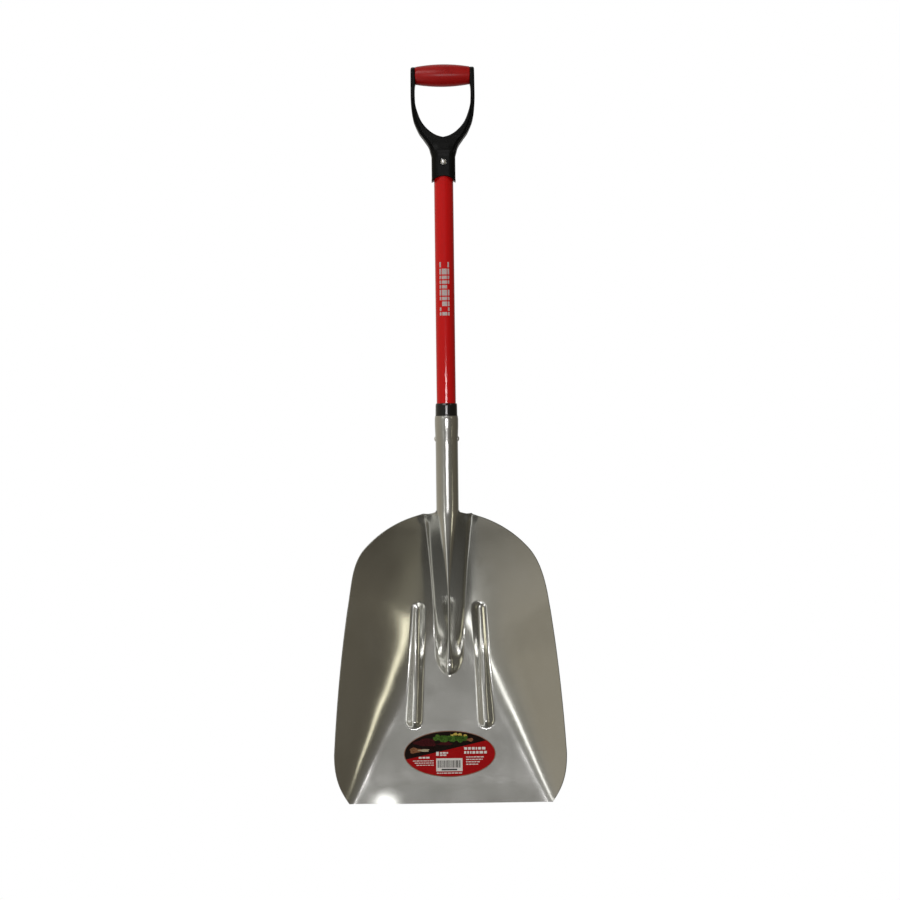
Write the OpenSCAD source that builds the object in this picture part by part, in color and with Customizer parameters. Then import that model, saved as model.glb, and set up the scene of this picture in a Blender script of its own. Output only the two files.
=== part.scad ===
// Grain scoop shovel: pressed sheet scoop, rolled socket, fibreglass shaft and a moulded D-grip.
// Millimetres. The lip rests on Z = 0, the shaft runs up +Z and the hollow of the scoop faces -Y.

/* [Scoop] */
// half of the widest width across the side walls
half_max = 191.3; // [160:0.1:210]
// height above the lip where the scoop is widest
wide_z = 84; // [50:1:110]
// how far each lip corner is drawn in from the widest width
corner_in = 19.6; // [5:0.1:40]
// height of the rim where the side walls meet the socket
rim_z = 480; // [430:1:520]
// radius of the rounded top outline
crown_r = 181; // [150:0.5:200]
// height of the centre of the rounded top outline
crown_z = 303.5; // [280:0.5:340]
// size of the soft corner where the side edges meet the rounded top
shoulder_k = 17; // [5:1:40]
// thickness of the pressed sheet
sheet_t = 2; // [1.2:0.1:4]
// depth of the floor behind the lip datum
lip_y = 18; // [0:1:40]
// rise of the floor per millimetre of height, backwards
floor_slope = 0.259; // [0.1:0.001:0.4]
// half width of the flat floor at the lip
crease_w = 171.6; // [120:0.1:180]
// how fast the flat floor narrows per millimetre of height
crease_slope = 0.41; // [0.2:0.01:0.6]
// steepness of the side walls, rise over run
wall_slope = 0.9; // [0.5:0.01:1.4]
// height above which the creases run straight up
crease_end_z = 300; // [260:1:340]
// height where the heel starts to turn forward
heel_z = 372; // [340:1:430]
// steepness of the heel, rise over run
heel_slope = 0.6; // [0.2:0.01:1]

/* [Ribs and frog] */
// half spacing of the ribs at their lower end
rib_low_x = 60.3; // [45:0.1:80]
// half spacing of the ribs at their upper end
rib_top_x = 51; // [40:0.5:70]
// height of the lower rib centre
rib_low_z = 133; // [125:1:170]
// height of the upper rib centre
rib_top_z = 319; // [260:1:340]
// half width of a rib at its lower end
rib_low_r = 15; // [8:0.5:20]
// half width of a rib at its upper end
rib_top_r = 12.5; // [6:0.5:18]
// height of the ribs above the floor
rib_h = 7; // [3:0.5:12]
// height of the nose where the frog starts to run out into the floor
nose_z = 233; // [215:1:260]
// how far the nose of the frog stands in front of the floor
nose_rise = 12.5; // [6:0.1:20]
// half width of the frog at its nose
frog_low_w = 22.5; // [15:0.1:30]
// half width of the frog at the rim
frog_top_w = 36.5; // [25:0.1:45]

/* [Socket] */
// outside radius of the rolled socket
socket_r = 18.5; // [16:0.1:22]
// wall of the rolled socket
socket_wall = 2.3; // [1:0.1:3]
// height where the socket tube starts
socket_z0 = 487; // [470:1:500]
// height of the socket mouth
socket_z1 = 643; // [600:1:680]
// outside radius of the swaged mouth
mouth_r = 19.5; // [18.5:0.1:22]
// width of the seam at the back of the socket
seam_w = 2.4; // [1:0.1:6]
// height of the cross rivet
rivet_z = 606; // [560:1:620]
// radius of the rivet shanks
shank_r = 3; // [2:0.1:4]
// radius of the socket rivet heads
head_r = 4.6; // [4:0.1:7]
// depth of the flat seat under each rivet head
seat_in = 0.8; // [0.2:0.1:1.5]

/* [Shaft] */
// radius of the fibreglass shaft
shaft_r = 15.875; // [14:0.005:18]
// inside radius of the fibreglass shaft
shaft_bore_r = 12.7; // [9:0.1:14]
// height of the lower end of the shaft
shaft_z0 = 488; // [480:1:520]
// height of the upper end of the shaft
shaft_z1 = 1091; // [1060:1:1094]
// top of the black collar
collar_z1 = 664.5; // [650:0.5:690]
// outside radius of the black collar
collar_r = 18; // [16.5:0.1:20]

/* [D-grip] */
// outside radius of the ferrule
ferrule_r = 19.65; // [18:0.05:24]
// height of the lowest ferrule edge
ferrule_z = 1030; // [1015:1:1045]
// height of the grip rivet
grip_rivet_z = 1061.7; // [1055:0.1:1080]
// height of the grip rivet heads
grip_head_h = 2.2; // [1:0.1:4]
// half width of the grip across the arms
grip_half = 52.8; // [48:0.1:60]
// half width of the hand opening
hand_half = 45.4; // [40:0.1:50]
// height of the lowest point of the hand opening
hand_z = 1103.6; // [1100:0.1:1112]
// height of the barrel axis
barrel_z = 1207; // [1190:1:1220]
// barrel radius at its ends
barrel_end_r = 14.5; // [12:0.1:17]
// barrel radius at the middle
barrel_mid_r = 18.4; // [15:0.1:20]
// radius of the crossbar inside the barrel
bar_r = 8; // [5:0.1:10]

/* [Labels] */
// half width of the oval label
label_a = 75; // [50:1:90]
// half height of the oval label
label_b = 38; // [25:1:45]
// height of the label centre
label_z = 80; // [60:1:90]
// thickness of the labels
label_t = 0.3; // [0.1:0.1:0.6]
// lower edge of the shaft decal
decal_z0 = 808; // [700:1:850]
// upper edge of the shaft decal
decal_z1 = 898; // [860:1:1000]

/* [Hidden] */
$fn = 96;

top_z = socket_z0;
cols = 62;
steps = 36;
arc_steps = 8;
arc_from_z = 416;
dx = 0.05;
crease_cos = 1 / sqrt(1 + crease_slope * crease_slope);
floor_tilt = atan(floor_slope);

// zero, a smooth bend of half width r, then the identity
function hinge(d, r) = d <= -r ? 0 : d >= r ? d : (d + r) * (d + r) / (4 * r);
function clamp01(t) = max(0, min(1, t));
function smooth(t) = let (c = clamp01(t)) c * c * (3 - 2 * c);
function mix(a, b, t) = a + (b - a) * t;
// the smaller of two values, with a rounded corner of size k
function soft_min(a, b, k) = let (h = clamp01(0.5 + 0.5 * (b - a) / k)) mix(b, a, h) - k * h * (1 - h);

// outline of the sheet as seen from the front
function side_w(z) = let (v = z - wide_z)
    v < 0 ? half_max - corner_in * pow(-v / (wide_z - 5), 2.4) : half_max - 0.06 * v - 0.00017 * v * v;
function crown_w(z) = sqrt(max(0, crown_r * crown_r - pow(max(0, z - crown_z), 2)));
function web_w(z) = let (t = (top_z - z) / (top_z - rim_z)) socket_r + (crown_w(rim_z) - socket_r) * t * t;
function half_w(z) = z > rim_z ? web_w(z)
    : soft_min(side_w(z), crown_w(z) + 0.3 * max(0, 330 - z), shoulder_k);

// front face of the sheet, before ribs and frog
function floor_y(z) = lip_y + floor_slope * z;
function bend_r(z) = 14 + 0.12 * z + 190 * smooth((z - 240) / 250);
function crease_x(z) = crease_w - crease_slope * (z - hinge(z - crease_end_z, 80));
function wall_d(x, z) = (abs(x) - crease_x(z)) * crease_cos;
function dish_y(x, z) = floor_y(z) - wall_slope * hinge(wall_d(x, z), bend_r(z))
    - heel_slope * hinge(z - heel_z, 80);

// frog: a ridge with a rounded crest and straight flanks, carried down from the socket to a blunt nose
nose_l = 25;
nose_y = floor_y(nose_z) - nose_rise;
crest_z = rim_z - 23;
function crest_y(z) = z > nose_z
    ? -socket_r + (nose_y + socket_r) / (crest_z - nose_z) * hinge(crest_z - z, 40)
    : floor_y(z) - nose_rise * sqrt(max(0, 1 - pow((nose_z - z) / nose_l, 2)))
      + 0.8 * max(0, nose_z - nose_l - z);
function frog_w(z) = (frog_low_w + (frog_top_w - frog_low_w) * pow(clamp01((z - nose_z - 23) / 221), 1.6))
    * sqrt(max(0.01, 1 - pow(clamp01((nose_z + 12 - z) / 36), 2)));
function frog_round(z) = mix(2.2, socket_r, clamp01((z - 355) / (top_z - 358)))
    + 9 * smooth((nose_z + 39 - z) / 50);
// slope of the flank that leaves the crest's arc and meets the dish at the frog's edge
function flank(rise, w, r, s, n) = n == 0 ? s
    : flank(rise, w, r, (rise + r * (sqrt(1 + s * s) - 1)) / w, n - 1);
function frog_y(x, z) = let (w = frog_w(z), r = frog_round(z), rise = max(0.5, dish_y(w, z) - crest_y(z)),
    s = flank(rise, w, r, rise / w, 8), a = min(abs(x), r * s / sqrt(1 + s * s)))
    crest_y(z) + r - sqrt(r * r - a * a) + s * (abs(x) - a) + 1.2 * max(0, abs(x) - w);

// ribs: two raised beads with round ends
function rib_q(x, z) = let (t = clamp01((z - rib_low_z) / (rib_top_z - rib_low_z)),
    cx = mix(rib_low_x, rib_top_x, t), cz = mix(rib_low_z, rib_top_z, t))
    norm([abs(x) - cx, z - cz]) / mix(rib_low_r, rib_top_r, t);
function rib_rise(x, z) = let (q = rib_q(x, z)) rib_h * (1 - smooth((q - 0.12) / 0.88));

function front_y(x, z) = soft_min(dish_y(x, z), frog_y(x, z), mix(4, 12, smooth((z - 225) / 90)))
    - rib_rise(x, z);
function front_p(x, z) = [x, front_y(x, z), z];
function back_p(x, z) = let (gx = (front_y(x + dx, z) - front_y(x - dx, z)) / (2 * dx),
    gz = (front_y(x, z + dx) - front_y(x, z - dx)) / (2 * dx), n = sheet_t / norm([gx, 1, gz]))
    [x - gx * n, front_y(x, z) + n, min(top_z, max(0, z - gz * n))];

function row_z(i) = i <= steps ? arc_from_z * i / steps
    : i <= steps + arc_steps
    ? let (a0 = asin((arc_from_z - crown_z) / crown_r), a1 = asin((rim_z - crown_z) / crown_r))
        crown_z + crown_r * sin(mix(a0, a1, (i - steps) / arc_steps))
    : rim_z + (top_z - rim_z) * (i - steps - arc_steps) / 3;
rows = steps + arc_steps + 3;
w = cols + 1;
// position across the sheet, with the columns drawn together near the frog
function across(j) = let (t = 2 * j / cols - 1) t * (0.62 + 0.38 * t * t);
front_pts = [for (i = [0:rows], j = [0:cols]) front_p(half_w(row_z(i)) * across(j), row_z(i))];
back_pts = [for (i = [0:rows], j = [0:cols]) back_p(half_w(row_z(i)) * across(j), row_z(i))];
blade_ys = [for (p = concat(front_pts, back_pts)) p[1]];
// the datum is put in the middle of the depth, from the grip rivet head to the back of the sheet
mid_y = (max(blade_ys) - (ferrule_r - seat_in + grip_head_h)) / 2;
m = len(front_pts);
front_faces = [for (i = [0:rows - 1], j = [0:cols - 1]) let (a = i * w + j)
    each [[a, a + 1, a + w + 1], [a, a + w + 1, a + w]]];
back_faces = [for (i = [0:rows - 1], j = [0:cols - 1]) let (a = m + i * w + j)
    each [[a, a + w + 1, a + 1], [a, a + w, a + w + 1]]];
edge_low = [for (j = [0:cols - 1]) each [[j + 1, j, m + j], [j + 1, m + j, m + j + 1]]];
edge_top = [for (j = [0:cols - 1]) let (a = rows * w + j)
    each [[a, a + 1, m + a + 1], [a, m + a + 1, m + a]]];
edge_left = [for (i = [0:rows - 1]) let (a = i * w)
    each [[a, a + w, m + a + w], [a, m + a + w, m + a]]];
edge_right = [for (i = [0:rows - 1]) let (a = i * w + cols)
    each [[a + w, a, m + a], [a + w, m + a, m + a + w]]];

// outline of the D-grip: outer edge and hand opening, as half widths over height
grip_z0 = 1068;
grip_z1 = 1165;
function grip_s(t) = t <= 0 ? 0 : t >= 1 ? 1 : let (e = 1.97 * pow(t / (1 - t), 1.72)) e / (1 + e);
function grip_outer(z) = mix(ferrule_r, grip_half, grip_s((z - grip_z0) / (grip_z1 - grip_z0)));
function hand_inner(z) = let (t = clamp01((z - hand_z) / (grip_z1 - hand_z)))
    hand_half * pow(1 - pow(1 - t, 1.9), 0.7);
function arm_depth(z) = z < 1072 ? ferrule_r : z < 1140 ? mix(ferrule_r, 12.8, smooth((z - 1072) / 68))
    : mix(12.8, barrel_end_r, smooth((z - 1140) / (barrel_z - 1140)));
disc_r = barrel_end_r;

module placed() translate([0, -mid_y, 0]) children();
// a closed outline from a half width over height, extruded front to back
module front_shape(depth) rotate([90, 0, 0]) linear_extrude(height = depth, center = true) children();
module side_shape(width) rotate([90, 0, 90]) linear_extrude(height = width, center = true) children();
module along_y(r, l) rotate([90, 0, 0]) cylinder(r = r, h = l, center = true);
module along_x(r, l) rotate([0, 90, 0]) cylinder(r = r, h = l, center = true);

module scoop_blade() color([0.62, 0.62, 0.58]) placed() polyhedron(points = concat(front_pts, back_pts),
    faces = concat(front_faces, back_faces, edge_low, edge_top, edge_left, edge_right), convexity = 6);

module socket_tube() color([0.62, 0.62, 0.58]) placed() {
    mr = mouth_r - socket_r;
    ir = socket_r - socket_wall;
    difference() {
        rotate_extrude() polygon([[ir, socket_z0], [socket_r, socket_z0], [socket_r, 600], [mouth_r, 630],
            [mouth_r, socket_z1 - 1], [mouth_r - 0.6, socket_z1], [ir + mr, socket_z1], [ir + mr, 630.8],
            [ir, 600.8]]);
        translate([0, socket_r, (socket_z0 + socket_z1) / 2])
            cube([seam_w, 2 * socket_wall + 4, socket_z1 - socket_z0 + 2], center = true);
        translate([0, 0, rivet_z]) along_x(shank_r + 0.1, 60);
        for (k = [-1, 1]) translate([k * (socket_r - seat_in + 5), 0, rivet_z]) along_x(head_r, 10);
    }
}

module rivet(reach, seat, head_r, head_h) {
    cylinder(r = shank_r, h = 2 * reach, center = true);
    for (k = [0, 1]) mirror([0, 0, k]) {
        translate([0, 0, seat]) cylinder(r = head_r, h = reach - seat);
        translate([0, 0, reach]) intersection() {
            sr = (head_r * head_r + head_h * head_h) / (2 * head_h);
            translate([0, 0, head_h - sr]) sphere(r = sr);
            cylinder(r = head_r + 1, h = head_h + 1);
        }
    }
}

module socket_rivet() color([0.75, 0.75, 0.74]) placed() translate([0, 0, rivet_z]) rotate([0, 90, 0])
    rivet(socket_r, socket_r - seat_in, head_r, 2.3);

module plug(z0, z1) translate([0, 0, z0]) cylinder(r = shaft_bore_r - 0.1, h = z1 - z0);

module socket_plug() color([0.72, 0.55, 0.35]) placed() difference() {
    plug(shaft_z0 + 2, socket_z1);
    translate([0, 0, rivet_z]) along_x(shank_r + 0.1, 60);
}

module collar() color([0.08, 0.09, 0.08]) placed() rotate_extrude()
    polygon([[shaft_r + 0.05, socket_z1 - 11], [mouth_r - socket_wall - 0.1, socket_z1 - 11],
        [mouth_r - socket_wall - 0.1, socket_z1], [collar_r, socket_z1 + 0.1], [collar_r, collar_z1 - 1],
        [collar_r - 1, collar_z1], [shaft_r + 0.05, collar_z1]]);

module shaft() color([0.62, 0.06, 0.05]) placed() difference() {
    translate([0, 0, shaft_z0]) cylinder(r = shaft_r, h = shaft_z1 - shaft_z0);
    translate([0, 0, shaft_z0 - 1]) cylinder(r = shaft_bore_r, h = shaft_z1 - shaft_z0 + 2);
    translate([0, 0, rivet_z]) along_x(shank_r + 0.1, 60);
    translate([0, 0, grip_rivet_z]) along_y(shank_r + 0.1, 60);
}

module shaft_decal() color([0.85, 0.8, 0.78]) placed() intersection() {
    difference() {
        translate([0, 0, decal_z0]) cylinder(r = shaft_r + label_t, h = decal_z1 - decal_z0);
        translate([0, 0, decal_z0 - 1]) cylinder(r = shaft_r + 0.02, h = decal_z1 - decal_z0 + 2);
    }
    translate([-11, -shaft_r - 5, decal_z0]) cube([22, shaft_r, decal_z1 - decal_z0]);
}

module grip_plug() color([0.72, 0.55, 0.35]) placed() difference() {
    plug(1028, shaft_z1 - 1);
    translate([0, 0, grip_rivet_z]) along_y(shank_r + 0.1, 60);
}

module grip_yoke() color([0.09, 0.09, 0.085]) placed() {
    oz = [for (z = [1070:5:1165]) z];
    hz = [for (k = [0:16]) hand_z + (grip_z1 - hand_z) * pow(k / 16, 1.6)];
    dz = [for (z = [1072:6.8:1208]) z];
    difference() {
        union() {
            intersection() {
                front_shape(60) polygon(concat([for (z = oz) [grip_outer(z), z]],
                    [[grip_half, barrel_z + disc_r - 3], [grip_half - 2.5, barrel_z + disc_r + 1],
                     [2.5 - grip_half, barrel_z + disc_r + 1], [-grip_half, barrel_z + disc_r - 3]],
                    [for (k = [len(oz) - 1:-1:0]) [-grip_outer(oz[k]), oz[k]]]));
                side_shape(120) union() {
                    polygon(concat([for (z = dz) [arm_depth(z), z]],
                        [for (k = [len(dz) - 1:-1:0]) [-arm_depth(dz[k]), dz[k]]]));
                    translate([0, barrel_z]) circle(r = disc_r);
                }
            }
            translate([0, 0, ferrule_z]) cylinder(r = ferrule_r, h = 1084 - ferrule_z);
        }
        front_shape(80) polygon(concat([for (z = hz) [hand_inner(z), z]],
            [[hand_half, 1240], [-hand_half, 1240]],
            [for (k = [len(hz) - 1:-1:1]) [-hand_inner(hz[k]), hz[k]]]));
        translate([0, 0, ferrule_z - 1]) cylinder(r = shaft_r + 0.05, h = shaft_z1 + 1 - ferrule_z + 1);
        translate([0, 0, ferrule_z - 19]) along_y(27.6, 60);
        translate([0, 0, grip_rivet_z]) along_y(shank_r + 0.1, 60);
        for (k = [-1, 1]) translate([0, k * (ferrule_r - seat_in + 4.9), grip_rivet_z]) along_y(5.8, 10);
        // pockets that leave a rim along both edges of each arm
        for (k = [0, 1]) mirror([k, 0, 0]) difference() {
            front_shape(60) polygon(concat([for (z = [1088:6:1178]) [grip_outer(z) - 2.2, z]],
                [for (z = [1178:-6:1088]) [max(hand_inner(z) + 2.2, 13), z]]));
            side_shape(120) polygon(concat([for (z = dz) [arm_depth(z) - 3, z]],
                [for (k = [len(dz) - 1:-1:0]) [3 - arm_depth(dz[k]), dz[k]]]));
        }
    }
    translate([0, 0, barrel_z]) along_x(bar_r, 2 * hand_half + 1);
}

module grip_rivet() color([0.78, 0.78, 0.77]) placed() translate([0, 0, grip_rivet_z]) rotate([90, 0, 0])
    rivet(ferrule_r - seat_in, ferrule_r - seat_in - 0.1, 4.8, grip_head_h);

module grip_barrel() color([0.5, 0.05, 0.05]) placed() translate([0, 0, barrel_z]) rotate([0, 90, 0])
    rotate_extrude() {
        e = hand_half - 0.6;
        polygon(concat([[bar_r + 0.1, -e], [barrel_end_r - 1, -e]],
            [for (k = [-14:14]) let (x = k / 14 * (e - 1))
                [mix(barrel_mid_r, barrel_end_r, pow(x / e, 2)), x]],
            [[barrel_end_r - 1, e], [bar_r + 0.1, e]]));
    }

module blade_label() color([0.75, 0.12, 0.1]) placed() translate([0, floor_y(label_z), label_z])
    rotate([90 - floor_tilt, 0, 0]) linear_extrude(height = label_t)
        polygon([for (k = [0:95]) let (a = k * 3.75) [label_a * cos(a), label_b * sin(a)]]);

scoop_blade();
socket_tube();
socket_rivet();
socket_plug();
collar();
shaft();
shaft_decal();
grip_plug();
grip_yoke();
grip_rivet();
grip_barrel();
blade_label();
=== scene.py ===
import math

import bpy
import numpy as np
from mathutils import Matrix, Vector


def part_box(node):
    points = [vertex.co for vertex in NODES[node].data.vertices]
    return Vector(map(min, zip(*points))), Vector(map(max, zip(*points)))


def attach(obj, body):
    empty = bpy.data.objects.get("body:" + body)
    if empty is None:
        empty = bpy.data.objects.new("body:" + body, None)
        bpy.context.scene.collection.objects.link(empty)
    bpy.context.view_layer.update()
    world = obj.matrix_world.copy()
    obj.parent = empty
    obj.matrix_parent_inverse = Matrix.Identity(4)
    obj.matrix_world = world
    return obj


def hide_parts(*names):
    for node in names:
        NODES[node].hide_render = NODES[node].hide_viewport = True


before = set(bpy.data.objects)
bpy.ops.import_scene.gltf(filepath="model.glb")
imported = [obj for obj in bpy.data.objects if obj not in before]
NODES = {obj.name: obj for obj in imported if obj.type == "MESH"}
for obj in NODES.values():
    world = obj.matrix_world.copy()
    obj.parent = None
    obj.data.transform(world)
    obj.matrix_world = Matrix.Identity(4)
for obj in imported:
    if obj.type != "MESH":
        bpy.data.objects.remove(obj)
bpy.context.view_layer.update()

lo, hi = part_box("shaft")
METRES = 0.001  # one millimetre, in metres
AXIS_Y = (lo.y + hi.y) * 500.0  # the shaft's axis, in millimetres


# ---------------------------------------------------------------- meshes
# Shapes are worked out in millimetres, with the shaft's axis at x = 0, y = 0.

def smooth(t):
    """0 up to t = 0, 1 from t = 1, and an S-curve between."""
    c = np.clip(t, 0, 1)
    return c * c * (3 - 2 * c)


def mix(a, b, t):
    """a at t = 0 and b at t = 1, in a straight line."""
    return a + (b - a) * t


def volume(v, faces):
    """The signed volume inside a mesh; negative if its faces point inwards."""
    total = 0.0
    for n in (3, 4):
        f = np.array([q for q in faces if len(q) == n], int)
        if len(f):
            a = v[f[:, 0]]
            for k in range(1, n - 1):
                total += np.einsum("ij,ij->i", a, np.cross(v[f[:, k]], v[f[:, k + 1]])).sum() / 6
    return total


def piece(name, verts, faces, material, nodes=(), sharp=40, face_mats=None):
    """A mesh from millimetre points around the shaft axis, riding on the part."""
    v = np.asarray(verts, float)
    faces = [tuple(int(i) for i in f) for f in faces]
    if volume(v, faces) < 0:
        faces = [f[::-1] for f in faces]
    v = (v + [0, AXIS_Y, 0]) * METRES
    mesh = bpy.data.meshes.new(name)
    mesh.from_pydata(v.tolist(), [], faces)
    mesh.update()
    mesh.validate()
    for m in material if isinstance(material, (list, tuple)) else [material]:
        mesh.materials.append(m)
    if face_mats is not None:
        mesh.polygons.foreach_set("material_index", np.asarray(face_mats, np.int32))
    mesh.shade_smooth()
    if sharp is not None:
        mesh.set_sharp_from_angle(angle=math.radians(sharp))
    o = bpy.data.objects.new(name, mesh)
    bpy.context.scene.collection.objects.link(o)
    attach(o, "root")
    if nodes:
        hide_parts(*nodes)
    return o


def grid_faces(nu, nv, base=0, wrap_u=False, wrap_v=False, flip=False):
    """Quads between the nu rows of nv points that start at point base."""
    u = np.arange(nu if wrap_u else nu - 1)
    w = np.arange(nv if wrap_v else nv - 1)
    U, V = np.meshgrid(u, w, indexing="ij")
    a = U * nv + V
    b = ((U + 1) % nu) * nv + V
    c = ((U + 1) % nu) * nv + (V + 1) % nv
    d = U * nv + (V + 1) % nv
    f = np.stack([a, b, c, d], -1).reshape(-1, 4) + base
    return (f[:, ::-1] if flip else f).tolist()


def lathe(profile, n=128, axis="z", origin=(0, 0, 0)):
    """A closed solid of revolution from a closed (radius, height) loop."""
    p = np.asarray(profile, float)
    a = np.arange(n) * 2 * math.pi / n
    R, A = p[:, 0][:, None], a[None]
    H = np.broadcast_to(p[:, 1][:, None], (len(p), n))
    if axis == "z":
        v = np.stack([R * np.cos(A), R * np.sin(A), H], -1)
    elif axis == "x":
        v = np.stack([H, R * np.cos(A), R * np.sin(A)], -1)
    else:
        v = np.stack([R * np.cos(A), H, R * np.sin(A)], -1)
    return v.reshape(-1, 3) + np.asarray(origin, float), grid_faces(len(p), n, wrap_u=True, wrap_v=True)


def rounded(points, radii, steps=5):
    """A closed 2-D loop with its corners rounded."""
    p = [np.asarray(q, float) for q in points]
    out = []
    for i, q in enumerate(p):
        r = radii[i] if hasattr(radii, "__len__") else radii
        a, b = p[i - 1] - q, p[(i + 1) % len(p)] - q
        la, lb = np.linalg.norm(a), np.linalg.norm(b)
        if r <= 0 or la < 1e-9 or lb < 1e-9:
            out.append(q)
            continue
        a, b = a / la, b / lb
        half = math.acos(float(np.clip(a @ b, -1, 1))) / 2
        cut = min(r / math.tan(half), 0.49 * la, 0.49 * lb)
        s, e = q + a * cut, q + b * cut
        for k in range(steps + 1):
            t = k / steps
            out.append((1 - t) ** 2 * s + 2 * t * (1 - t) * q + t * t * e)
    return np.array(out)


def join(*parts):
    """One (points, faces) pair from several."""
    vs, fs, n = [], [], 0
    for v, f in parts:
        vs.append(np.asarray(v, float))
        fs += [tuple(i + n for i in q) for q in f]
        n += len(v)
    return np.concatenate(vs), fs


def surface_net(F, origin, h):
    """Quads over the zero level of a sampled field that is negative inside.

    Each cell of the grid that the surface passes through gets one point, the mean of the places where the
    surface crosses the cell's edges. Each grid edge that it crosses gets one quad round it.
    """
    S = F < 0
    dims = np.array(F.shape) - 1
    total = np.zeros(tuple(dims) + (3,))
    count = np.zeros(tuple(dims))
    corners = [(i, j, k) for i in (0, 1) for j in (0, 1) for k in (0, 1)]

    def cut(A, c):
        """The samples at corner c of every cell."""
        return A[c[0]:c[0] + dims[0], c[1]:c[1] + dims[1], c[2]:c[2] + dims[2]]

    for c in corners:
        for ax in range(3):
            if c[ax] == 0:
                e = list(c)
                e[ax] = 1
                fa, fb = cut(F, c), cut(F, e)
                hit = cut(S, c) != cut(S, e)
                t = np.where(hit, fa / np.where(hit, fa - fb, 1), 0)
                for k in range(3):
                    total[..., k] += np.where(hit, c[k] + (t if k == ax else 0), 0)
                count += hit
    mask = count > 0
    index = np.full(tuple(dims), -1)
    index[mask] = np.arange(mask.sum())
    verts = (np.argwhere(mask) + total[mask] / count[mask][:, None]) * h + origin
    faces = []
    for ax in range(3):
        b, c = (ax + 1) % 3, (ax + 2) % 3
        s0 = [slice(1, n - 1) for n in F.shape]
        s0[ax] = slice(0, F.shape[ax] - 1)
        s1 = list(s0)
        s1[ax] = slice(1, F.shape[ax])
        A, B = S[tuple(s0)], S[tuple(s1)]
        for sign, hit in ((1, A & ~B), (-1, ~A & B)):
            at = np.argwhere(hit)
            if not len(at):
                continue
            at[:, b] += 1
            at[:, c] += 1
            q = []
            for db, dc in ((-1, -1), (0, -1), (0, 0), (-1, 0)):
                g = at.copy()
                g[:, b] += db
                g[:, c] += dc
                q.append(index[g[:, 0], g[:, 1], g[:, 2]])
            q = np.stack(q, -1)
            faces.append(q if sign > 0 else q[:, ::-1])
    return verts, np.concatenate(faces).tolist()


# ---------------------------------------------------------------- materials

def material(name, color=None, metallic=0.0, roughness=0.5, **sockets):
    """A new material, with its node tree and its principled shader."""
    m = bpy.data.materials.new(name)
    m.use_nodes = True
    t = m.node_tree
    b = t.nodes["Principled BSDF"]
    if color is not None:
        b.inputs["Base Color"].default_value = (*color, 1)
    b.inputs["Metallic"].default_value = metallic
    b.inputs["Roughness"].default_value = roughness
    for k, v in sockets.items():
        b.inputs[k.replace("_", " ")].default_value = v
    return m, t, b


def coords(t, scale):
    """The object's own coordinates, in metres, multiplied by scale."""
    c = t.nodes.new("ShaderNodeTexCoord")
    m = t.nodes.new("ShaderNodeMapping")
    m.inputs["Scale"].default_value = scale
    t.links.new(c.outputs["Object"], m.inputs["Vector"])
    return m.outputs["Vector"]


def noise(t, scale, detail=3.0, rough=0.5):
    """Noise with patches about 1 / scale metres wide along each axis."""
    n = t.nodes.new("ShaderNodeTexNoise")
    n.inputs["Scale"].default_value = 1.0
    n.inputs["Detail"].default_value = detail
    n.inputs["Roughness"].default_value = rough
    t.links.new(coords(t, scale), n.inputs["Vector"])
    return n.outputs["Fac"]


def ramp(t, fac, stops):
    """Colours by value: stops of (position, colour)."""
    r = t.nodes.new("ShaderNodeValToRGB")
    el = r.color_ramp.elements
    while len(el) < len(stops):
        el.new(0.5)
    for e, (p, c) in zip(el, stops):
        e.position = p
        e.color = (*c, 1)
    t.links.new(fac, r.inputs["Fac"])
    return r.outputs["Color"]


def remap(t, fac, a, b):
    """Spreads the usual range of a noise, 0.3 to 0.7, over a to b."""
    r = t.nodes.new("ShaderNodeMapRange")
    r.inputs["From Min"].default_value = 0.3
    r.inputs["From Max"].default_value = 0.7
    r.inputs["To Min"].default_value = a
    r.inputs["To Max"].default_value = b
    t.links.new(fac, r.inputs["Value"])
    return r.outputs["Result"]


def math_node(t, op, a, b):
    """One step of arithmetic on sockets or numbers."""
    m = t.nodes.new("ShaderNodeMath")
    m.operation = op
    for s, v in zip(m.inputs, (a, b)):
        if isinstance(v, (int, float)):
            s.default_value = v
        else:
            t.links.new(v, s)
    return m.outputs["Value"]


def blend(t, a, b, share):
    """share of a and the rest of b."""
    return math_node(t, "ADD", math_node(t, "MULTIPLY", a, share), math_node(t, "MULTIPLY", b, 1 - share))


def bump(t, b, layers):
    """Chains bump layers of (height, strength, distance in metres)."""
    last = None
    for height, strength, distance in layers:
        n = t.nodes.new("ShaderNodeBump")
        n.inputs["Strength"].default_value = strength
        n.inputs["Distance"].default_value = distance
        t.links.new(height, n.inputs["Height"])
        if last is not None:
            t.links.new(last, n.inputs["Normal"])
        last = n.outputs["Normal"]
    t.links.new(last, b.inputs["Normal"])


def aluminium(name, brush):
    """Pressed sheet with fine rolling streaks, cloudy reflections and smudges."""
    m, t, b = material(name, metallic=1.0, roughness=0.25)
    streak = noise(t, brush, 4, 0.6)
    cloud = noise(t, (9, 9, 7), 4, 0.55)
    smudge = noise(t, (26, 26, 20), 3, 0.6)
    tone = ramp(t, blend(t, streak, cloud, 0.5),
                [(0.3, (0.55, 0.55, 0.52)), (0.5, (0.6, 0.6, 0.575)), (0.72, (0.65, 0.65, 0.63))])
    t.links.new(tone, b.inputs["Base Color"])
    rough = math_node(t, "ADD", remap(t, cloud, 0.13, 0.19),
                      math_node(t, "ADD", remap(t, streak, -0.015, 0.025), remap(t, smudge, 0.0, 0.04)))
    t.links.new(rough, b.inputs["Roughness"])
    bump(t, b, [(cloud, 0.2, 0.0006), (streak, 0.05, 0.00003)])
    return m


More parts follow.
